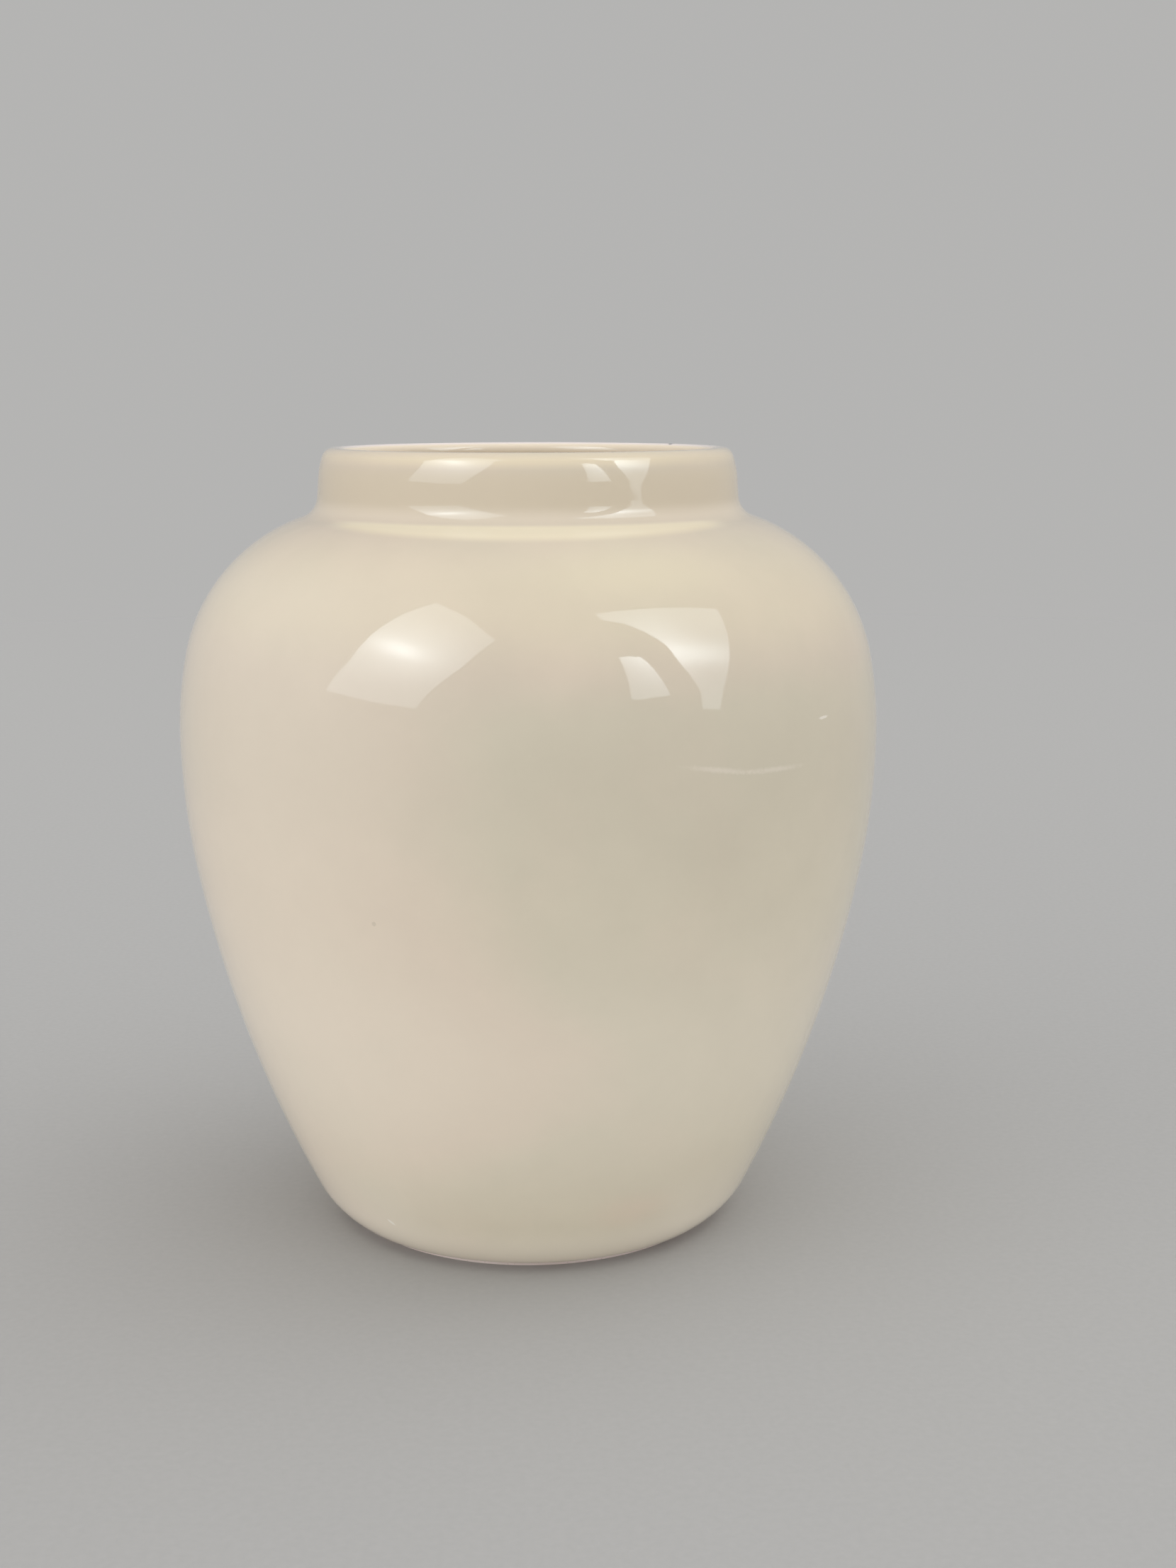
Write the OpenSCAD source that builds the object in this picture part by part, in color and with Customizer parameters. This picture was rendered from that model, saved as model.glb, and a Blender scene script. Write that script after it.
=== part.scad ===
// A short, round-shouldered vase of glazed clay, with an upright collar and a low bare foot ring.
// Lengths are in millimetres and angles in degrees. The vase stands on Z = 0 with its axis on Z.
// Each piece is turned from its half section, which is drawn here with the radius along X and
// the height along Y. Every curve of the wall is an arc, and neighbouring arcs share a tangent,
// so that the clay and each coat of glaze follow the same arcs, moved in by their thickness.

/* [Body] */
// Height from the table to the top of the lip
vase_h = 150; // [130:1:180]
// Widest diameter, over the glaze
belly_d = 134; // [120:1:160]
// Height of the widest place
belly_z = 96.5; // [80:0.5:110]
// Radius of the wall's curve just below the widest place
lower_belly_r = 140; // [110:1:170]
// Drop of that curve below the widest place
lower_belly_drop = 26.5; // [20:0.5:32]
// Radius of the wall's curve just above the widest place
upper_belly_r = 75.5; // [60:0.5:95]
// Rise of that curve above the widest place
upper_belly_rise = 15; // [10:0.5:20]
// Thickness of the clay in the wall
clay_t = 4; // [3.4:0.1:5]
// Thickness of each coat of glaze
glaze_t = 0.4; // [0.2:0.05:0.6]

/* [Collar and lip] */
// Height of the collar, from the middle of its fillet to the top of the lip
collar_h = 8.8; // [7:0.1:12]
// Outer diameter of the collar where its straight side would meet the top of the lip
collar_d = 78.8; // [66:0.2:94]
// Angle by which that side leans in towards the lip
collar_lean = 4.3; // [2:0.1:8]
// Height of the collar's rounded part, up to the top of the lip
collar_round_h = 5.6; // [4:0.1:6.5]
// Radius of that rounded part
collar_round_r = 16; // [12:0.5:30]
// Radius of the fillet between the shoulder and the collar
neck_fillet_r = 4.4; // [3:0.1:6]
// Radius of the lip's outer edge
lip_out_r = 2.1; // [1.4:0.1:2.4]
// Radius of the lip's inner edge
lip_in_r = 1.6; // [1:0.1:1.8]

/* [Foot and floor] */
// Outer diameter of the face that stands on the table
foot_d = 71.4; // [60:0.2:80]
// Width of the face that stands on the table
foot_land_w = 5.2; // [4:0.1:7]
// Height of the upright rim round that face
foot_rim_h = 0.45; // [0.3:0.05:0.8]
// Width of the bare band, in plan, from that face out to the edge of the glaze
bare_w = 2.7; // [1.5:0.1:3.5]
// Height of the edge of the glaze above the table
glaze_line_z = 1.7; // [1:0.1:2.2]
// Angle below level at which the wall's surface faces at the edge of the glaze
base_tilt = 52.7; // [45:0.1:60]
// Radius of the wall's curve just above the foot
base_round_r = 17.2; // [14:0.2:20]
// Depth of the glazed recess under the floor
recess_h = 2.4; // [1.5:0.1:3.5]
// Radius of the recess's corner in the clay
recess_round_r = 1.4; // [0.8:0.1:1.6]
// Height of the edge of the glaze inside the foot ring
recess_bare_h = 0.9; // [0.5:0.1:1.2]
// Height of the glazed floor inside the vase
floor_z = 8; // [7:0.1:12]
// Radius of the curve between the floor and the inside of the wall
floor_round_r = 11; // [8:0.2:14]

/* [Hidden] */
// Facets round the axis where the model is drawn as a mesh
$fn = 180;
glaze_colour = [0.83, 0.79, 0.70];
clay_colour = [0.88, 0.81, 0.75];
// Furthest that a drawn chord may lie from its arc
chord_gap = 0.02;

// Full wall: a coat of glaze on each side of the clay
wall_t = clay_t + 2 * glaze_t;
// Depth of the clay's inner surface below the outside of the glaze
clay_in = glaze_t + clay_t;

// A point at an angle on the circle round c
function on_circle(c, r, a) = c + r * [cos(a), sin(a)];
// Radius of the arc that leaves point p square to the direction n and touches the circle round c.
// r is positive where that circle lies inside the arc and negative where it lies outside.
function touching_r(p, n, c, r) = (r * r - (p - c) * (p - c)) / (2 * ((p - c) * n + r));
function angle_to(from, to) = atan2(to.y - from.y, to.x - from.x);

foot_r = foot_d / 2;
foot_in_r = foot_r - foot_land_w;
belly_r = belly_d / 2;

// Curve just above the foot
base_a = -base_tilt;
base_c = on_circle([foot_r + bare_w, glaze_line_z], -base_round_r, base_a);

// Lowest edge of the clay's glazed outside, where the bare foot ring ends
clay_foot = on_circle(base_c, base_round_r - glaze_t, base_a);
// Top of the foot's upright rim
foot_rim = [foot_r, foot_rim_h];

// Curve just below the widest place
lower_belly_c = [belly_r - lower_belly_r, belly_z];
lower_belly_a = -asin(lower_belly_drop / lower_belly_r);
lower_belly_end = on_circle(lower_belly_c, lower_belly_r, lower_belly_a);

// Long, nearly straight curve of the lower wall, between those two
lower_in = -[cos(lower_belly_a), sin(lower_belly_a)];
lower_r = touching_r(lower_belly_end, lower_in, base_c, base_round_r);
lower_c = lower_belly_end + lower_r * lower_in;
lower_a = angle_to(lower_c, base_c);

// Curve just above the widest place
upper_belly_c = [belly_r - upper_belly_r, belly_z];
upper_belly_a = asin(upper_belly_rise / upper_belly_r);
upper_belly_end = on_circle(upper_belly_c, upper_belly_r, upper_belly_a);

// Straight side of the collar: out_of_side is its outward direction and side_reach its distance
// from the origin along that direction
neck_z = vase_h - collar_h;
out_of_side = [cos(collar_lean), sin(collar_lean)];
side_reach = [collar_d / 2, vase_h] * out_of_side;
// Radius, measured level at height z, of a line beside the collar's side and moved in by t
function side_x(z, t) = (side_reach - t - z * out_of_side.y) / out_of_side.x;

// Fillet between the shoulder and the collar, with its centre outside the vase
neck_c = [side_x(neck_z, -neck_fillet_r), neck_z];
neck_end_a = 180 + collar_lean;

// Shoulder, between the upper belly and the fillet
shoulder_in = -[cos(upper_belly_a), sin(upper_belly_a)];
shoulder_r = touching_r(upper_belly_end, shoulder_in, neck_c, -neck_fillet_r);
shoulder_c = upper_belly_end + shoulder_r * shoulder_in;
shoulder_a = angle_to(shoulder_c, neck_c);
neck_start_a = 180 + shoulder_a;

// Rounded part of the collar, from its straight side to the lip's outer edge
round_z = vase_h - collar_round_h;
round_c = [side_x(round_z, 0), round_z] - collar_round_r * out_of_side;
lip_out_z = vase_h - lip_out_r;
lip_start_a = asin((lip_out_z - round_c.y) / (collar_round_r - lip_out_r));

// Rounded edges of the lip, with a narrow flat between them
lip_out_c = on_circle(round_c, collar_round_r - lip_out_r, lip_start_a);
lip_in_z = vase_h - lip_in_r;
lip_in_c = [side_x(lip_in_z, wall_t - lip_in_r), lip_in_z];

// Curve between the floor and the inside of the wall
floor_c_z = floor_z + floor_round_r;
floor_to_wall = lower_r - wall_t - floor_round_r;
floor_c = [lower_c.x + sqrt(pow(floor_to_wall, 2) - pow(floor_c_z - lower_c.y, 2)), floor_c_z];
floor_a = angle_to(lower_c, floor_c);

// Corner of the recess under the floor
recess_clay_z = recess_h + glaze_t;
recess_corner_c = [foot_in_r - recess_round_r, recess_clay_z - recess_round_r];

// Points along an arc after its first, with no chord further than chord_gap from the arc
function bend(c, r, a, b) =
    let (steps = ceil(abs(b - a) / (2 * acos(1 - chord_gap / r))))
    [for (i = [1:steps]) on_circle(c, r, a + (b - a) * i / steps)];
function reversed(path) = [for (i = [len(path) - 1:-1:0]) path[i]];

// The wall from the end of its lowest curve to the top of the fillet, on a surface moved in by t.
// start_a is the direction from which the long curve of the lower wall starts.
function wall_path(t, start_a) = [
    each bend(lower_c, lower_r - t, start_a, lower_belly_a),
    each bend(lower_belly_c, lower_belly_r - t, lower_belly_a, 0),
    each bend(upper_belly_c, upper_belly_r - t, 0, upper_belly_a),
    each bend(shoulder_c, shoulder_r - t, upper_belly_a, shoulder_a),
    each bend(neck_c, neck_fillet_r + t, neck_start_a, neck_end_a),
];

// The outside of the wall moved in by t, after its lowest point and up to the lip
function outer_path(t) = [
    each bend(base_c, base_round_r - t, base_a, lower_a),
    each wall_path(t, lower_a),
    on_circle(round_c, collar_round_r - t, collar_lean),
    each bend(round_c, collar_round_r - t, collar_lean, lip_start_a),
];

// The inside of the wall, moved in by t from the outside, from the floor to the top of the fillet
function inner_path(t) = [
    [floor_c.x, floor_z - wall_t + t],
    each bend(floor_c, floor_round_r + wall_t - t, -90, floor_a),
    each wall_path(t, floor_a),
];

// Over the lip, after its first point on the outside, on a surface moved in by t
function lip_path(t) = [
    each bend(lip_out_c, lip_out_r - t, lip_start_a, 90),
    [lip_in_c.x, vase_h - t],
    each bend(lip_in_c, lip_in_r - t, 90, neck_end_a),
];

// The recess under the floor, up its side and round its corner, on a surface moved in by t
function recess_path(t) = [
    [foot_in_r - t, recess_corner_c.y],
    each bend(recess_corner_c, recess_round_r - t, 0, 90),
];

// Half section of all the clay
module clay_section() {
    polygon([
        [0, recess_clay_z],
        each reversed(recess_path(0)),
        [foot_in_r, 0],
        [foot_r, 0],
        foot_rim,
        clay_foot,
        each outer_path(glaze_t),
        each lip_path(glaze_t),
        each reversed(inner_path(clay_in)),
        [0, floor_z - glaze_t],
    ]);
}

// The clay between two heights, and between two radii
module turned_clay(low_z, high_z, low_x = 0, high_x = belly_d) {
    color(clay_colour) rotate_extrude() intersection() {
        clay_section();
        translate([low_x, low_z]) square([high_x - low_x, high_z - low_z]);
    }
}

// Bare ring that stands on the table, up to the edge of the glaze
module foot_ring() {
    turned_clay(0, clay_foot.y);
}

// Disc of clay within the foot ring
module floor_disc() {
    turned_clay(clay_foot.y, belly_z, 0, foot_in_r);
}

// Wall from the foot ring up to the widest place
module lower_wall() {
    turned_clay(clay_foot.y, belly_z, foot_in_r);
}

// Wall from the widest place up to the neck
module shoulder() {
    turned_clay(belly_z, neck_z);
}

// Short upright neck with its lip
module collar() {
    turned_clay(neck_z, vase_h);
}

// Coat from the foot ring up to the lip, with a rounded lower edge
module outside_glaze() {
    edge_a = angle_to(clay_foot, foot_rim);
    color(glaze_colour) rotate_extrude() polygon([
        on_circle(clay_foot, glaze_t, edge_a),
        each bend(clay_foot, glaze_t, edge_a, base_a),
        each outer_path(0),
        each reversed(outer_path(glaze_t)),
        clay_foot,
    ]);
}

// Coat over the rounded lip
module lip_glaze() {
    color(glaze_colour) rotate_extrude() polygon([
        on_circle(lip_out_c, lip_out_r, lip_start_a),
        each lip_path(0),
        each reversed(lip_path(glaze_t)),
        on_circle(lip_out_c, lip_out_r - glaze_t, lip_start_a),
    ]);
}

// Coat over the floor and up the inside to the lip
module inside_glaze() {
    color(glaze_colour) rotate_extrude() polygon([
        [0, floor_z],
        each inner_path(wall_t),
        on_circle(lip_in_c, lip_in_r, neck_end_a),
        on_circle(lip_in_c, lip_in_r - glaze_t, neck_end_a),
        each reversed(inner_path(clay_in)),
        [0, floor_z - glaze_t],
    ]);
}

// Coat in the recess under the floor, down to the bare ring
module base_glaze() {
    color(glaze_colour) rotate_extrude() polygon([
        [0, recess_h],
        each reversed(recess_path(glaze_t)),
        [foot_in_r - glaze_t, recess_bare_h],
        [foot_in_r, recess_bare_h],
        each recess_path(0),
        [0, recess_clay_z],
    ]);
}

foot_ring();
floor_disc();
lower_wall();
shoulder();
collar();
outside_glaze();
lip_glaze();
inside_glaze();
base_glaze();
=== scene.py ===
from math import asin, atan2, ceil, cos, pi, radians, sin, sqrt, tau

import bpy
from mathutils import Euler, Matrix, Vector


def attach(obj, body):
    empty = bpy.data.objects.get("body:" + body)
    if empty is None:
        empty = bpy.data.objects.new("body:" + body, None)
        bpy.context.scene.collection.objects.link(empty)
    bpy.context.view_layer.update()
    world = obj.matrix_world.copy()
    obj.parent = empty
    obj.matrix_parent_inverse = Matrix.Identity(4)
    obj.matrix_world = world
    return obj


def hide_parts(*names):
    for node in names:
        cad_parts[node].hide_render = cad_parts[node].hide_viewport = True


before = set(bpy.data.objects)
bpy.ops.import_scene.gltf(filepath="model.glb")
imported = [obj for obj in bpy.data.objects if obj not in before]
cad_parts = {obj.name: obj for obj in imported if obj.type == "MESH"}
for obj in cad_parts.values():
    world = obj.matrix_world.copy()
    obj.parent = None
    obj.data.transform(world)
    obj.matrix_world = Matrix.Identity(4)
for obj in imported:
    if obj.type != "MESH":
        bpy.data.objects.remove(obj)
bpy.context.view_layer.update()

# ---- Clay body ----
# The pot under its glaze: a floor, a lower wall, a shoulder and a collar of pale, faintly pink
# clay, cast in one piece and fired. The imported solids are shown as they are, in the clay's look,
# and the glaze covers all of them.


def is_socket(value):
    """Whether a value is another node's output."""
    return isinstance(value, bpy.types.NodeSocket)


def add(tree, kind, inputs=None, **settings):
    """Adds a node to a tree. An input is given by name or number, as a value or another node's output."""
    made = tree.nodes.new(kind)
    for name, value in settings.items():
        setattr(made, name, value)
    for name, value in (inputs or {}).items():
        if is_socket(value):
            tree.links.new(value, made.inputs[name])
        else:
            made.inputs[name].default_value = value
    return made


def reckon(tree, operation, *values):
    """The result of one Math node on these values."""
    return add(tree, "ShaderNodeMath", dict(enumerate(values)), operation=operation).outputs[0]


def times(tree, first, second):
    """The product of two values."""
    return reckon(tree, "MULTIPLY", first, second)


def between(tree, value, low, high, out_low=0.0, out_high=1.0):
    """value eased from out_low at low to out_high at high."""
    inputs = {"Value": value, "From Min": low, "From Max": high, "To Min": out_low, "To Max": out_high}
    return add(tree, "ShaderNodeMapRange", inputs, interpolation_type="SMOOTHSTEP").outputs[0]


def noise(tree, at, size, detail, roughness=0.5):
    """Unevenness at a point, with features of about one size in metres."""
    scale = reckon(tree, "DIVIDE", 1.0, size) if is_socket(size) else 1.0 / size
    inputs = {"Vector": at, "Scale": scale, "Detail": detail, "Roughness": roughness}
    return add(tree, "ShaderNodeTexNoise", inputs).outputs[0]


def blend_colour(tree, share, low, high):
    """A colour between low and high."""
    low, high = (value if is_socket(value) else (*value, 1) for value in (low, high))
    return add(tree, "ShaderNodeMix", {0: share, 6: low, 7: high}, data_type="RGBA").outputs[2]


def object_place(tree):
    """The point on the piece, in metres."""
    return add(tree, "ShaderNodeTexCoord").outputs["Object"]


def shader_group(name, inputs, outputs):
    """A shader group with named inputs and outputs: (name, kind of socket, value where it has one)."""
    tree = bpy.data.node_groups.new(name, "ShaderNodeTree")
    for label, kind, *value in inputs:
        socket = tree.interface.new_socket(label, in_out="INPUT", socket_type="NodeSocket" + kind)
        if value:
            socket.default_value = value[0]
    for label, kind in outputs:
        tree.interface.new_socket(label, in_out="OUTPUT", socket_type="NodeSocket" + kind)
    return tree, tree.nodes.new("NodeGroupInput").outputs, tree.nodes.new("NodeGroupOutput").inputs


def put_out(tree, result, **values):
    """Joins what a group makes to its outputs."""
    for label, value in values.items():
        tree.links.new(value, result[label])


def new_material(name):
    """An empty node material with its output."""
    made = bpy.data.materials.new(name)
    made.use_nodes = True
    made.node_tree.nodes.clear()
    return made, made.node_tree, made.node_tree.nodes.new("ShaderNodeOutputMaterial")


# Fired clay: a fine sandy grain with a slow drift of tone, and coarser grit that sits in small pits
clay_grain, given, result = shader_group(
    "clay grain",
    [("Grain", "Float", 0.0003), ("Drift", "Float", 0.02)],
    [("Tone", "Float"), ("Grit", "Float"), ("Height", "Float")],
)
grit_apart, grit_depth = 0.45, 0.45
at = object_place(clay_grain)
fine = noise(clay_grain, at, given["Grain"], detail=4.0, roughness=0.62)
slow = noise(clay_grain, at, given["Drift"], detail=3.0)
sand = add(clay_grain, "ShaderNodeTexVoronoi", {
    "Vector": at, "Scale": reckon(clay_grain, "DIVIDE", grit_apart, given["Grain"])})
grit = between(clay_grain, sand.outputs["Distance"], 0.10, 0.26, 1.0, 0.0)
height = reckon(clay_grain, "SUBTRACT", fine, times(clay_grain, grit, grit_depth))
put_out(clay_grain, result, Tone=slow, Grit=grit, Height=height)


def clay_finish(name, pale, warm, grit_colour, rough, relief):
    """Fired clay between two tones, with grit of a third and a dry surface."""
    made, tree, out = new_material(name)
    grain = add(tree, "ShaderNodeGroup", node_tree=clay_grain).outputs
    colour = blend_colour(tree, between(tree, grain["Tone"], 0.35, 0.65), pale, warm)
    colour = blend_colour(tree, times(tree, grain["Grit"], 0.35), colour, grit_colour)
    bump = add(tree, "ShaderNodeBump", {"Height": grain["Height"], "Distance": relief, "Strength": 0.8})
    surface = add(tree, "ShaderNodeBsdfPrincipled", {
        "Base Color": colour, "Roughness": between(tree, grain["Height"], 0.3, 0.8, rough, rough - 0.12),
        "Normal": bump.outputs[0], "IOR": 1.45})
    tree.links.new(surface.outputs[0], out.inputs[0])
    return made


covered_clay = clay_finish(
    "covered clay", pale=(0.80, 0.73, 0.65), warm=(0.76, 0.67, 0.58), grit_colour=(0.55, 0.43, 0.35),
    rough=0.85, relief=0.00004)
for part in ("floor_disc", "lower_wall", "shoulder", "collar"):
    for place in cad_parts[part].material_slots:
        place.material = covered_clay

# ---- Foot ring ----
# The low ring that the pot stands on, of the same clay as the body and turned with it. It was
# wiped clean of glaze before the firing, so it is bare, dry and sandy. It ends in a low upright
# rim, and its edges are eased.

foot_r, foot_in_r = 0.0357, 0.0305
rim_h = 0.00045
outer_ease, inner_ease = 0.00015, 0.00035
glaze_t = 0.0004

# Where the glaze ends on the outside, out from the ring and up from the table
bare_w, glaze_line_z = 0.0027, 0.0017

# The outside's lowest curve, and the angle on it at the glaze line
base_round_r, base_a = 0.0172, -radians(52.7)

# The corner of the recess under the floor
recess_round_r, recess_clay_z = 0.0014, 0.0028


def on_circle(c, r, a):
    """The point at an angle on a circle."""
    return Vector((c[0] + r * cos(a), c[1] + r * sin(a)))


def angle_to(start, end):
    """The angle at which one point sees another."""
    return atan2(end[1] - start[1], end[0] - start[0])


def arc(c, r, a, b, step):
    """Points along an arc after its first, about one step apart and never more than 0.16 of a radian."""
    count = max(2, ceil(abs(b - a) * abs(r) / step), ceil(abs(b - a) / 0.16))
    return [on_circle(c, r, a + (b - a) * i / count) for i in range(1, count + 1)]


def line(a, b, step):
    """Points along a straight line after its first."""
    a, b = Vector(a), Vector(b)
    count = max(1, ceil((b - a).length / step))
    return [a.lerp(b, i / count) for i in range(1, count + 1)]


def vector_of(tree, operation, first, second=None):
    """The result of one Vector Math node."""
    inputs = {0: first}
    if second is not None:
        inputs["Scale" if operation == "SCALE" else 1] = second
    made = add(tree, "ShaderNodeVectorMath", inputs, operation=operation)
    return made.outputs["Value" if operation in ("LENGTH", "DOT_PRODUCT") else "Vector"]


# A piece turned on the wheel: its half section is swept round the axis, slightly uneven, and
# closed where it meets itself
wheel = bpy.data.node_groups.new("turned on a wheel", "GeometryNodeTree")
wheel.is_modifier = True
sockets = {}
for label, kind, value in (
    ("Half section", "Geometry", None), ("Facets round", "Int", 288), ("Unevenness", "Float", 0.00003),
    ("Size of unevenness", "Float", 0.03), ("Seed", "Int", 7), ("Crease angle", "Float", 0.6),
    ("Finish", "Material", None),
):
    sockets[label] = wheel.interface.new_socket(label, in_out="INPUT", socket_type="NodeSocket" + kind)
    if value is not None:
        sockets[label].default_value = value
wheel.interface.new_socket("Turned piece", in_out="OUTPUT", socket_type="NodeSocketGeometry")
given, result = wheel.nodes.new("NodeGroupInput").outputs, wheel.nodes.new("NodeGroupOutput").inputs

# A flat sheet with a row for each point of the half section and a column for each facet
section, facets = given["Half section"], given["Facets round"]
points = add(wheel, "GeometryNodeAttributeDomainSize", {"Geometry": section}).outputs["Point Count"]
rows = reckon(wheel, "SUBTRACT", points, 1)
sheet = add(wheel, "GeometryNodeMeshGrid", {
    "Size X": rows, "Size Y": facets, "Vertices X": points,
    "Vertices Y": reckon(wheel, "ADD", facets, 1)}).outputs["Mesh"]

# Each of its points goes out by its section point's radius and up by its height
position = add(wheel, "GeometryNodeInputPosition").outputs[0]
along, around, _ = add(wheel, "ShaderNodeSeparateXYZ", {0: position}).outputs
row = reckon(wheel, "ROUND", reckon(wheel, "ADD", along, times(wheel, rows, 0.5)))
turn = times(wheel, reckon(wheel, "DIVIDE", around, facets), tau)
drawn = add(wheel, "GeometryNodeSampleIndex", {
    "Geometry": section, "Value": position, "Index": row}, data_type="FLOAT_VECTOR").outputs[0]
radius, _, height = add(wheel, "ShaderNodeSeparateXYZ", {0: drawn}).outputs
outward = add(wheel, "ShaderNodeCombineXYZ", {
    0: reckon(wheel, "COSINE", turn), 1: reckon(wheel, "SINE", turn)}).outputs[0]
upward = add(wheel, "ShaderNodeCombineXYZ", {2: height}).outputs[0]
even = vector_of(wheel, "ADD", vector_of(wheel, "SCALE", outward, radius), upward)

# The unevenness goes in or out, and less so near the axis
steady_r = 0.01
wobble = add(wheel, "ShaderNodeTexNoise", {
    "Vector": even, "W": given["Seed"], "Detail": 1.0,
    "Scale": reckon(wheel, "DIVIDE", 1.0, given["Size of unevenness"])}, noise_dimensions="4D").outputs[0]
wobble = times(wheel, reckon(wheel, "SUBTRACT", wobble, 0.5), times(wheel, given["Unevenness"], 2.0))
fading = reckon(wheel, "MINIMUM", reckon(wheel, "DIVIDE", radius, steady_r), 1.0)
wobble = vector_of(wheel, "SCALE", outward, times(wheel, wobble, fading))
uneven = vector_of(wheel, "ADD", even, wobble)

# It is joined where it meets itself, and smooth except at its creases
shape = add(wheel, "GeometryNodeSetPosition", {"Geometry": sheet, "Position": uneven}).outputs[0]
shape = add(wheel, "GeometryNodeMergeByDistance", {"Geometry": shape, "Distance": 0.000001}).outputs[0]
shape = add(wheel, "GeometryNodeSetShadeSmooth", {"Geometry": shape}, domain="FACE").outputs[0]
bend = add(wheel, "GeometryNodeInputMeshEdgeAngle").outputs["Unsigned Angle"]
crease = add(wheel, "FunctionNodeCompare", {0: bend, 1: given["Crease angle"]},
             data_type="FLOAT", operation="GREATER_THAN").outputs[0]
shape = add(wheel, "GeometryNodeSetShadeSmooth", {
    "Geometry": shape, "Selection": crease, "Shade Smooth": False}, domain="EDGE").outputs[0]
shape = add(wheel, "GeometryNodeRealizeInstances", {"Geometry": shape}).outputs[0]
shape = add(wheel, "GeometryNodeSetMaterial", {"Geometry": shape, "Material": given["Finish"]}).outputs[0]
wheel.links.new(shape, result[0])


def turned(name, half_section, **inputs):
    """A piece turned from its half section: points (radius, height) in order, the piece on their left."""
    drawing = bpy.data.meshes.new(name + " half section")
    drawing.from_pydata([(x, 0.0, z) for x, z in half_section], [], [])
    piece = bpy.data.objects.new(name, drawing)
    bpy.context.scene.collection.objects.link(piece)
    step = piece.modifiers.new("wheel", "NODES")
    step.node_group = wheel
    for label, value in inputs.items():
        step[sockets[label.replace("_", " ").capitalize()].identifier] = value
    made = piece.evaluated_get(bpy.context.evaluated_depsgraph_get())
    solid = bpy.data.meshes.new_from_object(made)
    piece.modifiers.clear()
    piece.data = solid
    solid.name = name
    return piece


# Where the clay's outside meets the glaze line, and the recess's corner
base_c = on_circle((foot_r + bare_w, glaze_line_z), -base_round_r, base_a)
clay_foot = on_circle(base_c, base_round_r - glaze_t, base_a)
recess_c = Vector((foot_in_r - recess_round_r, recess_clay_z - recess_round_r))
recess_turn = asin((clay_foot.y - recess_c.y) / recess_round_r)

# Both edges of the standing face are eased by a wet sponge
outer_c = (foot_r - outer_ease, outer_ease)
inner_c = (foot_in_r + inner_ease, inner_ease)
rim_top = (foot_r, rim_h)
ring = [(foot_in_r, inner_ease)]
ring += arc(inner_c, inner_ease, pi, 1.5 * pi, step=0.0001)
ring += line((inner_c[0], 0), (outer_c[0], 0), step=0.0006)
ring += arc(outer_c, outer_ease, -pi / 2, 0, step=0.00006)
ring += line(ring[-1], rim_top, step=0.0003)
ring += line(rim_top, clay_foot, step=0.0004)
ring += line(clay_foot, on_circle(recess_c, recess_round_r, recess_turn), step=0.0015)
ring += arc(recess_c, recess_round_r, recess_turn, 0, step=0.0003)
ring += line(ring[-1], (foot_in_r, inner_ease), step=0.0004)

bare_clay = clay_finish(
    "bare clay", pale=(0.92, 0.82, 0.78), warm=(0.86, 0.75, 0.70), grit_colour=(0.55, 0.43, 0.37),
    rough=0.92, relief=0.00010)
foot_ring = turned(
    "foot_ring_bare", ring, unevenness=0.00006, size_of_unevenness=0.006, seed=3, finish=bare_clay)
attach(foot_ring, "root")
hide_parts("foot_ring")

# ---- Outside glaze ----
# The coat that shows most: a thick, clear-fired cream glaze, poured over the pot from the foot to
# the lip and melted on in the kiln. It is very smooth and shiny and ends in a rolled edge just
# above the foot ring.

vase_h = 0.150
belly_r, belly_z = 0.067, 0.0965
lower_belly_r, lower_belly_drop = 0.140, 0.0265
upper_belly_r, upper_belly_rise = 0.0755, 0.015
collar_h, collar_r, collar_lean = 0.0088, 0.0394, radians(4.3)
collar_round_h, collar_round_r = 0.0056, 0.016
neck_fillet_r = 0.0044
lip_out_r, lip_in_r = 0.0021, 0.0016
clay_t = 0.004
wall_t = clay_t + 2 * glaze_t


def touching_r(p, n, c, r):
    """Radius of the arc that leaves p square to n and touches the circle round c."""
    gap = Vector(p) - Vector(c)
    return (r * r - gap.dot(gap)) / (2 * (gap.dot(n) + r))


# Centres, radii and angles of the arcs that make the wall, from the foot up to the collar
lower_belly_c = Vector((belly_r - lower_belly_r, belly_z))
lower_belly_a = -asin(lower_belly_drop / lower_belly_r)
lower_belly_end = on_circle(lower_belly_c, lower_belly_r, lower_belly_a)
inward = -Vector((cos(lower_belly_a), sin(lower_belly_a)))
lower_r = touching_r(lower_belly_end, inward, base_c, base_round_r)
lower_c = lower_belly_end + lower_r * inward
lower_a = angle_to(lower_c, base_c)
upper_belly_c = Vector((belly_r - upper_belly_r, belly_z))
upper_belly_a = asin(upper_belly_rise / upper_belly_r)
upper_belly_end = on_circle(upper_belly_c, upper_belly_r, upper_belly_a)
neck_z = vase_h - collar_h
out_of_side = Vector((cos(collar_lean), sin(collar_lean)))
side_reach = Vector((collar_r, vase_h)).dot(out_of_side)


def side_x(z, t):
    """Radius of the collar's straight side at a height, moved in by t."""
    return (side_reach - t - z * out_of_side.y) / out_of_side.x


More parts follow.
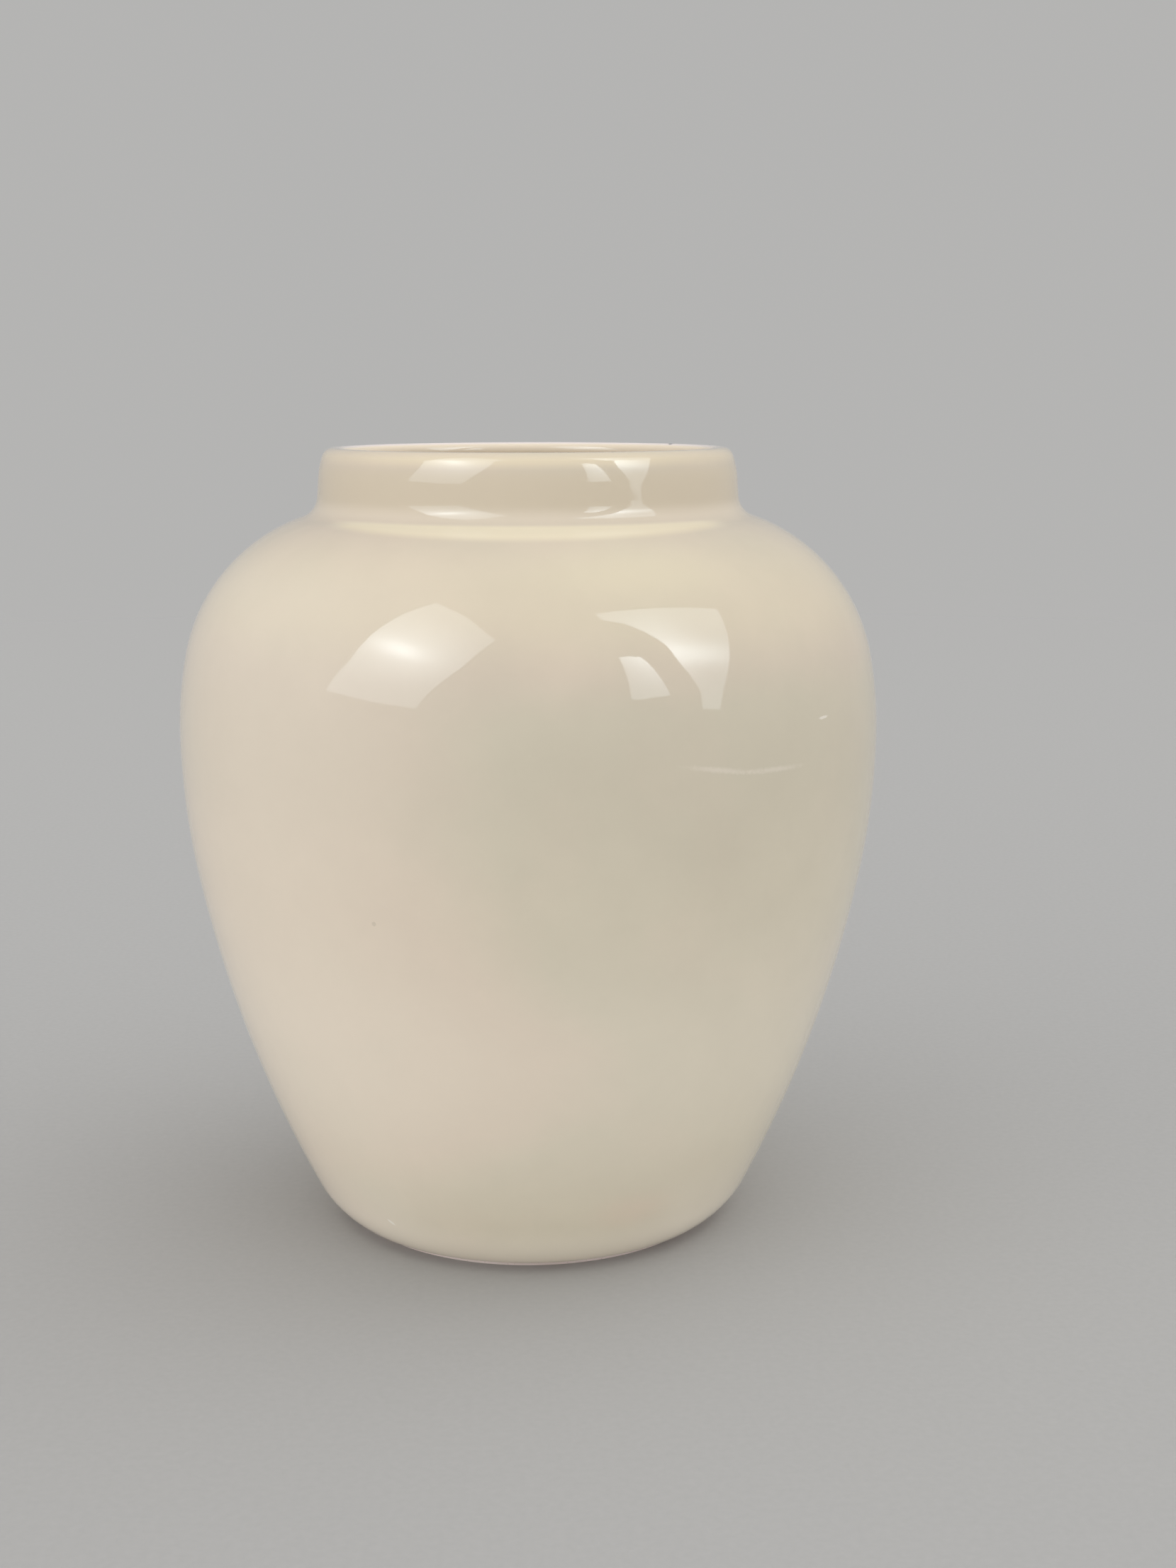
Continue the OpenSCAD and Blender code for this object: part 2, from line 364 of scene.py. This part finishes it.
neck_c = Vector((side_x(neck_z, -neck_fillet_r), neck_z))
inward = -Vector((cos(upper_belly_a), sin(upper_belly_a)))
shoulder_r = touching_r(upper_belly_end, inward, neck_c, -neck_fillet_r)
shoulder_c = upper_belly_end + shoulder_r * inward
shoulder_a = angle_to(shoulder_c, neck_c)
round_z = vase_h - collar_round_h
round_c = Vector((side_x(round_z, 0), round_z)) - collar_round_r * out_of_side
lip_start_a = asin((vase_h - lip_out_r - round_c.y) / (collar_round_r - lip_out_r))
lip_out_c = on_circle(round_c, collar_round_r - lip_out_r, lip_start_a)
lip_in_c = Vector((side_x(vase_h - lip_in_r, wall_t - lip_in_r), vase_h - lip_in_r))


def wall_path(t, start_a, step):
    """Up the wall to the top of the fillet under the collar, on a surface moved in by t."""
    return (
        arc(lower_c, lower_r - t, start_a, lower_belly_a, step)
        + arc(lower_belly_c, lower_belly_r - t, lower_belly_a, 0, step)
        + arc(upper_belly_c, upper_belly_r - t, 0, upper_belly_a, step)
        + arc(shoulder_c, shoulder_r - t, upper_belly_a, shoulder_a, step)
        + arc(neck_c, neck_fillet_r + t, pi + shoulder_a, pi + collar_lean, min(step, 0.0008))
    )


def outer_path(t, step):
    """Up the outside from the edge of the glaze to the lip, on a surface moved in by t."""
    low = on_circle(neck_c, neck_fillet_r + t, pi + collar_lean)
    high = on_circle(round_c, collar_round_r - t, collar_lean)
    return (
        arc(base_c, base_round_r - t, base_a, lower_a, min(step, 0.002))
        + wall_path(t, lower_a, step)
        + line(low, high, min(step, 0.001))
        + arc(round_c, collar_round_r - t, collar_lean, lip_start_a, min(step, 0.0006))
    )


def coat_edge(c, r, a, b):
    """The rolled edge of a coat of glaze."""
    return arc(c, r, a, b, step=0.00008)


def swung(tree, uneven, amount, middle):
    """middle, moved up and down by noise."""
    return reckon(tree, "MULTIPLY_ADD", reckon(tree, "SUBTRACT", uneven, 0.5), amount, middle)


# Cream glaze: its tone drifts between a pinkish and a greenish cream and is a little cloudy, with a
# faint ripple left by the melt
glaze_depth, given, result = shader_group(
    "melted glaze",
    [("Pinkish", "Color", (0.7, 0.65, 0.53, 1)), ("Greenish", "Color", (0.66, 0.6, 0.47, 1)),
     ("Lean", "Float", 0.5), ("Drift", "Float", 0.022), ("Cloud size", "Float", 0.013),
     ("Cloudiness", "Float", 0.10), ("Ripple size", "Float", 0.007)],
    [("Color", "Color"), ("Height", "Float"), ("Haze", "Float")],
)
milk_size = 1 / 900
at = object_place(glaze_depth)
drift = noise(glaze_depth, at, given["Drift"], detail=3.0, roughness=0.45)
milk = noise(glaze_depth, at, milk_size, detail=3.0)
lean = swung(glaze_depth, milk, 0.2, swung(glaze_depth, drift, 1.3, given["Lean"]))
tone = blend_colour(glaze_depth, lean, given["Pinkish"], given["Greenish"])
cloud = noise(glaze_depth, at, given["Cloud size"], detail=3.0, roughness=0.6)
tone = vector_of(glaze_depth, "SCALE", tone, swung(glaze_depth, cloud, given["Cloudiness"], 1.0))
ripple = noise(glaze_depth, at, given["Ripple size"], detail=2.0, roughness=0.35)
put_out(glaze_depth, result, Color=tone, Height=ripple, Haze=drift)

# A small mark at one place on the glaze, longer one way than the other and with a ragged edge
glaze_mark, given, result = shader_group(
    "mark in the glaze",
    [("Centre", "Vector"), ("Turn", "Vector", (0, 0, 0)), ("Half length", "Float", 0.001),
     ("Half width", "Float", 0.001), ("Ragged", "Float", 0.3), ("Softness", "Float", 0.4)],
    [("Mask", "Float")],
)
ragged_size = 1 / 1600
offset = vector_of(glaze_mark, "SUBTRACT", object_place(glaze_mark), given["Centre"])
offset = add(glaze_mark, "ShaderNodeVectorRotate", {"Vector": offset, "Rotation": given["Turn"]},
             rotation_type="EULER_XYZ", invert=True).outputs[0]
reach = add(glaze_mark, "ShaderNodeCombineXYZ", {
    0: given["Half length"], 1: given["Half length"], 2: given["Half width"]}).outputs[0]
apart = vector_of(glaze_mark, "LENGTH", vector_of(glaze_mark, "DIVIDE", offset, reach))
torn = noise(glaze_mark, object_place(glaze_mark), ragged_size, detail=2.0)
torn = times(glaze_mark, reckon(glaze_mark, "SUBTRACT", torn, 0.5), given["Ragged"])
inside = reckon(glaze_mark, "SUBTRACT", 1.0, given["Softness"])
mask = between(glaze_mark, reckon(glaze_mark, "ADD", apart, torn), inside, 1.0, 1.0, 0.0)
put_out(glaze_mark, result, Mask=mask)


def x_y_z(tree):
    """How far right, back and up a point of the piece is, in metres."""
    return add(tree, "ShaderNodeSeparateXYZ", {0: object_place(tree)}).outputs


# A band round the pot between two heights, with soft edges
glaze_band, given, result = shader_group(
    "band in the glaze",
    [("Low", "Float", 0.0), ("High", "Float", 0.01), ("Softness", "Float", 0.001)],
    [("Mask", "Float")],
)
level = x_y_z(glaze_band)[2]
past_low, past_high = (
    between(glaze_band, level, reckon(glaze_band, "SUBTRACT", given[end], given["Softness"]),
            reckon(glaze_band, "ADD", given[end], given["Softness"]))
    for end in ("Low", "High"))
put_out(glaze_band, result, Mask=reckon(glaze_band, "SUBTRACT", past_low, past_high))


def glaze_finish(
        name, pinkish, greenish, lean=None, bands=(), tints=(), marks=(), ripple=0.000004, rough=0.035):
    """Shiny cream glaze. lean makes the share of its greenish tone. Over it lie bands and marks, as
    (mask inputs, colour, strength), and tints, as (function that makes a mask, colour)."""
    made, tree, out = new_material(name)
    tones = {"Pinkish": (*pinkish, 1), "Greenish": (*greenish, 1)}
    if lean:
        tones["Lean"] = lean(tree)
    coat = add(tree, "ShaderNodeGroup", tones, node_tree=glaze_depth).outputs
    colour = coat["Color"]
    for (low, high, softness), tint, strength in bands:
        ends = {"Low": low, "High": high, "Softness": softness}
        band = add(tree, "ShaderNodeGroup", ends, node_tree=glaze_band).outputs[0]
        colour = blend_colour(tree, times(tree, band, strength), colour, tint)
    for mask_of, tint in tints:
        colour = blend_colour(tree, mask_of(tree), colour, tint)
    for shape, tint, strength in marks:
        mark = add(tree, "ShaderNodeGroup", shape, node_tree=glaze_mark).outputs[0]
        colour = blend_colour(tree, times(tree, mark, strength), colour, tint)
    bump = add(tree, "ShaderNodeBump", {"Height": coat["Height"], "Distance": ripple, "Strength": 1.0})
    surface = add(tree, "ShaderNodeBsdfPrincipled", {
        "Base Color": colour, "Roughness": between(tree, coat["Haze"], 0.3, 0.7, rough, rough + 0.02),
        "Normal": bump.outputs[0], "IOR": 1.52})
    tree.links.new(surface.outputs[0], out.inputs[0])
    return made


def lean_outside(tree):
    """Pinkish on the left and the shoulder, with a tongue of pink that reaches to the right low down."""
    x, _, z = x_y_z(tree)
    # How far right the pink reaches: it spreads above the foot and draws back higher up
    spread = between(tree, z, 0.012, 0.040, -0.034, 0.013)
    drawn_back = between(tree, z, 0.045, 0.072, 0.0, -0.025)
    past = reckon(tree, "SUBTRACT", x, reckon(tree, "ADD", spread, drawn_back))
    below_shoulder = between(tree, z, 0.106, 0.116, 1.0, 0.3)
    return times(tree, between(tree, past, -0.016, 0.016), below_shoulder)


def painted_left_light(tree):
    """Painted light: paler towards the left, up to the collar, where more light falls from the left."""
    x, _, z = x_y_z(tree)
    return times(tree, between(tree, x, -0.052, 0.004, 0.28, 0.0), between(tree, z, 0.125, 0.137, 1.0, 0.0))


def paler_foot(tree):
    """The coat is paler above the foot on the left and the right."""
    x, _, z = x_y_z(tree)
    beside = between(tree, times(tree, x, x), 0.0001, 0.0009, 0.0, 0.22)
    return times(tree, beside, between(tree, z, 0.009, 0.022, 1.0, 0.0))


def pool(tree):
    """Glaze pooled under the collar at the front, in a crescent that is deepest in the middle."""
    x, y, z = x_y_z(tree)
    # Its lower edge rises to the left and the right
    lower_edge = reckon(tree, "MULTIPLY_ADD", times(tree, x, x), 0.95, 0.1356)
    above = between(tree, reckon(tree, "SUBTRACT", z, lower_edge), -0.0006, 0.0006)
    depth = times(tree, above, between(tree, z, 0.1373, 0.1380, 1.0, 0.0))
    return times(tree, depth, between(tree, y, -0.030, -0.022, 1.0, 0.0))


def lip_pool(tree):
    """Glaze pooled round the lip's outer edge, yellower at the front and the back than at the sides."""
    x, _, z = x_y_z(tree)
    level = times(tree, between(tree, z, 0.1468, 0.1488), between(tree, z, 0.1487, 0.1500, 1.0, 0.3))
    return times(tree, level, between(tree, times(tree, x, x), 0.0002, 0.0011, 0.87, 0.45))


def mark_at(centre, half_length, half_width, dip=0.0, swing=0.0, ragged=0.3, softness=0.4):
    """A mark's place and size, with its long way turned down and round by so many degrees."""
    return {"Centre": centre, "Turn": (0, radians(dip), radians(swing)), "Half length": half_length,
            "Half width": half_width, "Ragged": ragged, "Softness": softness}


def patch_at(centre, half_length, half_width):
    """The place and size of a patch that fades away all round."""
    return mark_at(centre, half_length, half_width, ragged=0.1, softness=1.0)


def streak_at(centre, dip, swing):
    """The place of half of the fine streak."""
    return mark_at(centre, 0.0096, 0.0007, dip, swing, ragged=0.7, softness=0.9)


PINKISH = (0.728, 0.623, 0.506)
GREENISH = (0.678, 0.617, 0.491)
# Painted light from the left
PAINTED_LEFT_LIGHT_COLOUR = (0.95, 0.87, 0.74)
PALE_FOOT = (0.95, 0.87, 0.78)
POOL_YELLOW = (0.875, 0.785, 0.600)
LIP_YELLOW = (0.88, 0.765, 0.565)
STREAK_WHITE = (0.94, 0.86, 0.78)

# Bands round the outside, some of them painted light and shade: (low, high, softness), colour and strength
OUTSIDE_TONE_AND_LIGHT_BANDS = [
    # Paler low down: painted light, as from light that comes up from below
    ((0.0220, 0.0600, 0.0180), (0.95, 0.88, 0.76), 0.26),
    ((0.0000, 0.0075, 0.0045), (0.95, 0.88, 0.79), 0.33),
    # Pinker where the coat ends above the foot ring
    ((0.0010, 0.0030, 0.0012), (0.84, 0.74, 0.64), 0.45),
    # Painted shade round the widest place, and painted light on the shoulder, which is also yellower
    ((0.0860, 0.1110, 0.0100), (0.55, 0.50, 0.395), 0.24),
    ((0.1185, 0.1345, 0.0060), (0.93, 0.85, 0.55), 0.18),
    # Pale in the fillet under the collar, and painted shade on the collar's side, which is also yellower
    ((0.1379, 0.1408, 0.0012), (0.84, 0.735, 0.590), 0.62),
    ((0.1400, 0.1470, 0.0015), (0.70, 0.608, 0.468), 0.8),
]

# Marks on the outside: place and size, colour and strength
OUTSIDE_MARKS = [
    # Soft patches: a yellower one on the shoulder, then darker ones on the right, low down and high up
    (patch_at((0.0185, -0.0502, 0.1308), 0.026, 0.0075), (0.95, 0.87, 0.60), 0.20),
    (patch_at((0.0325, -0.0578, 0.0830), 0.013, 0.013), (0.56, 0.50, 0.40), 0.22),
    (patch_at((0.0180, -0.0424, 0.0133), 0.012, 0.006), (0.76, 0.625, 0.505), 0.45),
    (patch_at((-0.0070, -0.0615, 0.1150), 0.013, 0.014), (0.58, 0.51, 0.42), 0.22),
    # A fine streak that sags in the middle, in two halves
    (streak_at((0.0322, -0.0588, 0.0978), dip=8.8, swing=28.9), STREAK_WHITE, 0.27),
    (streak_at((0.0420, -0.0522, 0.0968), dip=1.6, swing=39.4), STREAK_WHITE, 0.27),
    # Two flecks and a dark speck
    (mark_at((0.0514, -0.0424, 0.1042), 0.0017, 0.00032, dip=-2.3, swing=50.8, ragged=0.9),
     (0.95, 0.90, 0.83), 0.55),
    (mark_at((-0.0263, -0.0350, 0.0086), 0.0011, 0.00035, dip=33.2, swing=-18), (0.95, 0.93, 0.86), 0.6),
    (mark_at((-0.0266, -0.0591, 0.0718), 0.0005, 0.0005), (0.50, 0.43, 0.33), 0.35),
]

# Its tints include painted light on the left, and its bands include painted light and shade.
outside_cream = glaze_finish(
    "cream glaze outside", PINKISH, GREENISH, lean_outside, OUTSIDE_TONE_AND_LIGHT_BANDS,
    tints=[(painted_left_light, PAINTED_LEFT_LIGHT_COLOUR), (paler_foot, PALE_FOOT), (pool, POOL_YELLOW), (lip_pool, LIP_YELLOW)],
    marks=OUTSIDE_MARKS)

edge_a = angle_to(clay_foot, rim_top)
coat = [on_circle(clay_foot, glaze_t, edge_a)]
coat += coat_edge(clay_foot, glaze_t, edge_a, base_a)
coat += outer_path(0, step=0.00125)
coat += outer_path(glaze_t, step=0.004)[::-1]
coat += [clay_foot, coat[0]]
outside_glaze = turned("outside_glaze_coat", coat, finish=outside_cream)
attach(outside_glaze, "root")
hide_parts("outside_glaze")

# ---- Inside glaze ----
# The same glaze, swilled round the inside and poured out again, so it covers the floor, the wall
# and the inside of the collar in one coat. Its colour is warmer than the outside's and made much paler,
# painted light that brightens the inside.

clay_in = clay_t + glaze_t
floor_z, floor_round_r = 0.008, 0.011
floor_round_z = floor_z + floor_round_r
from_wall = lower_r - wall_t - floor_round_r
floor_c = Vector((lower_c.x + sqrt(from_wall ** 2 - (floor_round_z - lower_c.y) ** 2), floor_round_z))
floor_a = angle_to(lower_c, floor_c)


def floor_path(z, step):
    """Over the floor from the axis to its edge, at one height."""
    return [Vector((0, z))] + line((0, z), (floor_c.x, z), step)


def inner_path(t, step):
    """From the floor's edge up the inside to the lip, moved in by t from the outside."""
    low = on_circle(neck_c, neck_fillet_r + t, pi + collar_lean)
    high = on_circle(lip_in_c, lip_in_r - wall_t + t, pi + collar_lean)
    return (
        arc(floor_c, floor_round_r + wall_t - t, -pi / 2, floor_a, step)
        + wall_path(t, floor_a, step)
        + line(low, high, min(step, 0.001))
    )


# Much paler than the outside's glaze: painted light that brightens the inside, which is also warmer
INSIDE_CREAM_PAINTED_LIGHT = (0.97, 0.85, 0.68)
inside_cream = glaze_finish("cream glaze inside", INSIDE_CREAM_PAINTED_LIGHT, greenish=(0.95, 0.83, 0.65))
covered = floor_path(floor_z - glaze_t, step=0.006) + inner_path(clay_in, step=0.004)
shown = floor_path(floor_z, step=0.002) + inner_path(wall_t, step=0.0018)
inside_glaze = turned("inside_glaze_coat", covered + shown[::-1], finish=inside_cream)
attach(inside_glaze, "root")
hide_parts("inside_glaze")

# ---- Lip glaze ----
# Where the outside and the inside coat meet over the rounded lip. The crest at the back
# carries a painted pinkish-white highlight. A small chip has come off the far side.


def lip_path(t, step):
    """Over the lip from the outside to the inside, on a surface moved in by t."""
    return (
        [on_circle(lip_out_c, lip_out_r - t, lip_start_a)]
        + arc(lip_out_c, lip_out_r - t, lip_start_a, pi / 2, step)
        + line((lip_out_c.x, vase_h - t), (lip_in_c.x, vase_h - t), step)
        + arc(lip_in_c, lip_in_r - t, pi / 2, pi + collar_lean, step)
    )


def inner_side(tree):
    """The inner half of the lip, with the inside's tone and its painted light."""
    x, y, _ = x_y_z(tree)
    radius = reckon(tree, "SQRT", reckon(tree, "MULTIPLY_ADD", x, x, times(tree, y, y)))
    return between(tree, radius, 0.0362, 0.0367, 1.0, 0.0)


def painted_crest_highlight(tree):
    """The crest at the back, with a painted pinkish-white highlight."""
    _, y, z = x_y_z(tree)
    crest = between(tree, z, 0.1495, 0.1499, 0.0, 0.9)
    return times(tree, crest, between(tree, y, -0.010, 0.010, 0.0, 1.0))


# A painted highlight along the crest at the back
CREST_HIGHLIGHT_WHITE = (0.93, 0.84, 0.82)
CHIP_GREY = (0.10, 0.11, 0.13)
chip = mark_at((0.0290, 0.0220, 0.1497), 0.0009, 0.0008, ragged=0.8, softness=0.25)
lip_cream = glaze_finish(
    "cream glaze lip", PINKISH, GREENISH, lean_outside, OUTSIDE_TONE_AND_LIGHT_BANDS,
    tints=[(lip_pool, LIP_YELLOW), (inner_side, INSIDE_CREAM_PAINTED_LIGHT), (painted_crest_highlight, CREST_HIGHLIGHT_WHITE)],
    marks=[(chip, CHIP_GREY, 0.9)])
over, beneath = lip_path(0, step=0.0003), lip_path(glaze_t, step=0.0006)
lip_glaze = turned("lip_glaze_coat", over + beneath[::-1] + [over[0]], finish=lip_cream)
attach(lip_glaze, "root")
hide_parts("lip_glaze")

# ---- Base glaze ----
# Under the floor, inside the foot ring, the recess is glazed too, down to a line just above the
# table, where it was wiped away with the rest of the ring's glaze.

recess_h, recess_bare_h = 0.0024, 0.0009
recess_edge_r = glaze_t / 2
recess_edge_z = recess_bare_h + glaze_t / 2


def recess_path(t, step):
    """Up the side of the recess and round its corner, on a surface moved in by t."""
    return [Vector((foot_in_r - t, recess_c.y))] + arc(recess_c, recess_round_r - t, 0, pi / 2, step)


base_cream = glaze_finish(
    "cream glaze base", pinkish=(0.74, 0.65, 0.52), greenish=(0.68, 0.61, 0.47), ripple=0.00001, rough=0.06)
side, back = recess_path(glaze_t, step=0.0002), recess_path(0, step=0.0004)
base = [Vector((0, recess_h))] + line((0, recess_h), (side[-1].x, recess_h), step=0.003)[:-1] + side[::-1]
base += line(side[0], (foot_in_r - glaze_t, recess_edge_z), step=0.0004)
base += coat_edge((foot_in_r - recess_edge_r, recess_edge_z), recess_edge_r, pi, tau)
base += line(base[-1], back[0], step=0.0004) + back[1:]
base += line(back[-1], (0, recess_clay_z), step=0.006)
base_glaze = turned("base_glaze_coat", base[::-1], unevenness=0.00005, seed=5, finish=base_cream)
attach(base_glaze, "root")
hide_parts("base_glaze")

# ---- Table ----
# A plain, pale, matt surface that the vase stands on. It is one flat round sheet, which fades into
# the pale background far from the vase.

TABLE_DARK, TABLE_PALE = (0.45, 0.446, 0.438), (0.49, 0.486, 0.478)
TABLE_UNDER_VASE = (0.80, 0.79, 0.77)  # as it sends light back up to the vase
table_grain = 1 / 700
fade_start, fade_end = 0.45, 1.7
table_r, table_sides = 2.7, 96

table_matt, tree, out = new_material("pale table")
far = vector_of(tree, "LENGTH", object_place(tree))
colour = blend_colour(
    tree, noise(tree, object_place(tree), table_grain, detail=3.0), TABLE_DARK, TABLE_PALE)
path = add(tree, "ShaderNodeLightPath").outputs
colour = blend_colour(tree, path["Is Diffuse Ray"], colour, TABLE_UNDER_VASE)
card = add(tree, "ShaderNodeBsdfDiffuse", {"Color": colour}).outputs[0]
gone = add(tree, "ShaderNodeBsdfTransparent").outputs[0]
fade = add(tree, "ShaderNodeMixShader", {
    0: between(tree, far, fade_start, fade_end), 1: card, 2: gone})
tree.links.new(fade.outputs[0], out.inputs[0])
top = bpy.data.meshes.new("table")
corners = [on_circle((0, 0), table_r, tau * i / table_sides) for i in range(table_sides)]
top.from_pydata([(x, y, 0) for x, y in corners], [], [list(range(table_sides))])
top.materials.append(table_matt)
table = bpy.data.objects.new("table", top)
bpy.context.scene.collection.objects.link(table)

# ---- Lights ----
# Two soft boxes stand in front of the vase, high on the left and on the right, with a lamp glowing
# through the middle of each. A curved arm crosses the right one and leaves two lit fields.
# The room adds plain, even light that is a little stronger from the left front and the right.

box_light = 1.0  # as it lights the vase
SHINE_COLOUR = (0.90, 1.0, 1.05)  # as the glaze mirrors it


def soft_box(name, centre, azimuth, elevation, roll, fields, cloth, glows):
    """A lit sheet that faces the vase. fields are its lit outlines, in its own X and Y. cloth is how
    bright it shows in the glaze away from its lamp, and glows are the brighter places on it:
    (centre, spread, strength)."""
    sheet = bpy.data.meshes.new(name)
    corners, faces = [], []
    for field in fields:
        faces.append(list(range(len(corners), len(corners) + len(field))))
        corners += [(x, y, 0) for x, y in field]
    sheet.from_pydata(corners, [], faces)

    made, tree, out = new_material(name)
    shine = cloth
    for place, spread, power in glows:
        offset = vector_of(tree, "SUBTRACT", object_place(tree), (*place, 0))
        share = vector_of(tree, "DIVIDE", offset, (*spread, 1))
        near = vector_of(tree, "DOT_PRODUCT", share, share)
        glow = reckon(tree, "EXPONENT", times(tree, near, -1.0))
        shine = reckon(tree, "MULTIPLY_ADD", glow, power, shine)
    mirrored = add(tree, "ShaderNodeLightPath").outputs["Is Glossy Ray"]
    strength = add(tree, "ShaderNodeMix", {0: mirrored, 2: box_light, 3: shine}, data_type="FLOAT")
    colour = blend_colour(tree, mirrored, (1, 1, 1), SHINE_COLOUR)
    lit = add(tree, "ShaderNodeEmission", {"Color": colour, "Strength": strength.outputs[0]}).outputs[0]
    dark = add(tree, "ShaderNodeEmission", {"Strength": 0.0}).outputs[0]
    behind = add(tree, "ShaderNodeNewGeometry").outputs["Backfacing"]
    facing = add(tree, "ShaderNodeMixShader", {0: behind, 1: lit, 2: dark})
    tree.links.new(facing.outputs[0], out.inputs[0])
    sheet.materials.append(made)

    # It is turned to face the vase, with its outlines as the vase sees them
    a, e, r = radians(azimuth), radians(elevation), radians(roll)
    away = Vector((sin(a) * cos(e), -cos(a) * cos(e), sin(e)))
    side = Vector((0, 0, 1)).cross(away).normalized()
    up = away.cross(side)
    right = cos(r) * side + sin(r) * up
    turn = Matrix((-right, away.cross(right), -away)).transposed()
    box = bpy.data.objects.new(name, sheet)
    box.matrix_world = Matrix.Translation(centre) @ turn.to_4x4()
    box.visible_camera = False
    bpy.context.scene.collection.objects.link(box)


# Outlines run anticlockwise as the vase sees them, with X to the vase's left
left_field = [
    (0.30, -0.44), (0.265, -0.17), (0.293, 0.085), (0.304, 0.25), (0.29, 0.43), (0.05, 0.46),
    (-0.30, 0.445), (-0.385, 0.07), (-0.38, -0.25), (-0.36, -0.42), (-0.015, -0.445)]
right_field = [
    (0.30, 0.415), (-0.31, 0.405), (-0.30, 0.0), (-0.29, -0.435), (-0.164, -0.442), (-0.139, -0.355),
    (-0.084, -0.258), (0.004, -0.092), (0.061, 0.075), (0.128, 0.182), (0.204, 0.282), (0.291, 0.338)]
small_field = [
    (0.307, -0.02), (0.255, -0.018), (0.197, -0.03), (0.145, -0.139), (0.094, -0.277),
    (0.055, -0.38), (0.24, -0.419), (0.284, -0.417), (0.293, -0.214)]
soft_box(
    "left soft box", centre=(-0.552, -0.613, 0.626), azimuth=-77.2, elevation=41.1, roll=2.1,
    fields=[left_field], cloth=1.9,
    glows=[((0.084, 0.029), (0.154, 0.065), 4.3), ((0.030, 0.043), (0.359, 0.238), 2.8)])
soft_box(
    "right soft box", centre=(0.639, -0.481, 0.593), azimuth=46.7, elevation=40.5, roll=-12.2,
    fields=[right_field, small_field], cloth=2.2,
    glows=[((-0.022, -0.009), (0.305, 0.099), 3.8), ((0.124, 0.007), (0.176, 0.287), 3.4)])

world = bpy.data.worlds.new("room")
world.use_nodes = True
tree = world.node_tree
tree.nodes.clear()
out = tree.nodes.new("ShaderNodeOutputWorld")
towards = add(tree, "ShaderNodeTexCoord").outputs["Generated"]


def glow_from(direction, power, strength):
    """Soft light that is strongest from one direction."""
    facing = vector_of(tree, "DOT_PRODUCT", towards, Vector(direction).normalized())
    facing = reckon(tree, "POWER", reckon(tree, "MAXIMUM", facing, 0.0), power)
    return times(tree, facing, strength)


# Light from the right, the left front and above, and a little from everywhere
from_sides = reckon(
    tree, "ADD", glow_from((1, 0, 0), power=1.0, strength=0.9),
    glow_from((-0.754, -0.654, 0), power=4.0, strength=2.1))
room_light = reckon(tree, "ADD", from_sides, glow_from((0, 0, 1), power=2.0, strength=1.2))
room_light = reckon(tree, "ADD", room_light, 0.06)

# The camera and the glaze see a plain pale background
BACKGROUND = (0.46, 0.457, 0.45, 1)
path = add(tree, "ShaderNodeLightPath").outputs
seen = reckon(tree, "MAXIMUM", path["Is Camera Ray"], reckon(
    tree, "MAXIMUM", path["Is Glossy Ray"], path["Is Transmission Ray"]))
dim = add(tree, "ShaderNodeBackground", {"Color": (1, 1, 1, 1), "Strength": room_light}).outputs[0]
pale = add(tree, "ShaderNodeBackground", {"Color": BACKGROUND, "Strength": 1.0}).outputs[0]
mixed = add(tree, "ShaderNodeMixShader", {0: seen, 1: dim, 2: pale})
tree.links.new(mixed.outputs[0], out.inputs[0])
bpy.context.scene.world = world

# ---- Camera ----
# It stands close in front of the vase, just above the lip's height, and looks slightly down. The
# middle of the vase is a little left of the middle of the picture.

tilt_down, roll, pan = 10.544, 0.075, -1.598
lens = bpy.data.cameras.new("camera")
lens.lens, lens.sensor_width = 48.82, 36
lens.clip_start, lens.clip_end = 0.01, 50
camera = bpy.data.objects.new("camera", lens)
camera.location = (0, -0.40956, 0.16096)
camera.rotation_euler = Euler((radians(90 - tilt_down), radians(roll), radians(pan)))
bpy.context.scene.collection.objects.link(camera)
bpy.context.scene.camera = camera
bpy.context.scene.view_settings.view_transform = "Standard"
